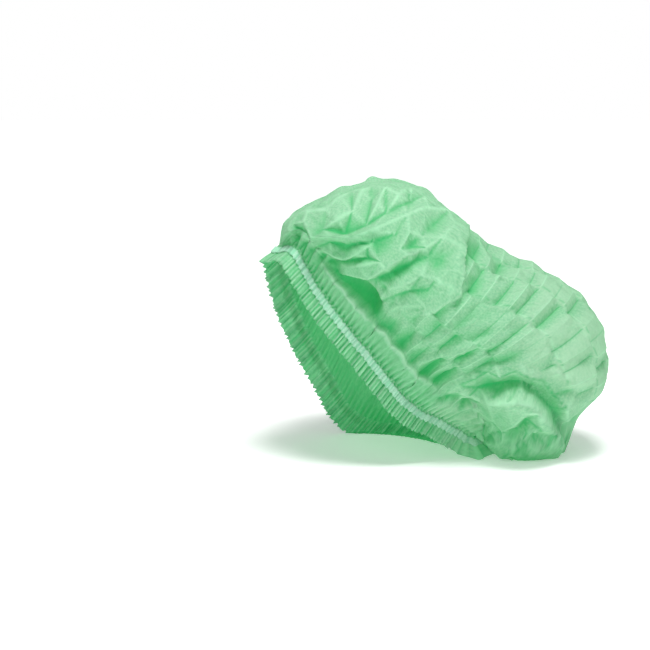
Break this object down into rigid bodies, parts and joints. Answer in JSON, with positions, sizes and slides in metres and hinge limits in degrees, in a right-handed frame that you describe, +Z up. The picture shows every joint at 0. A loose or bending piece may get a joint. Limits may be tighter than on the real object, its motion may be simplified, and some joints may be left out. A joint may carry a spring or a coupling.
{
  "type": "disposable hair cover cap",
  "caption": "Disposable nonwoven hair cover, opened into a pleated bag-like crown with a ruffled rim gathered by a loop of flat elastic.",
  "frame": {"origin": "middle of the rectangle that the cap covers on the floor, at floor height", "axes": "+X along the cap's longest extent, towards its closed lower right side, with the opening facing -X and down; +Z up"},
  "size_m": [0.2756, 0.2046, 0.2196],
  "materials": {
    "cap_sheet": "matt spunbond polypropylene, thin enough for light to come through",
    "elastic_band": "pale flat elastic with a fine lengthwise rib"
  },
  "bodies": {
    "root": {"cap_sheet": "cap_sheet", "elastic_band": "elastic_band"}
  },
  "joints": []
}
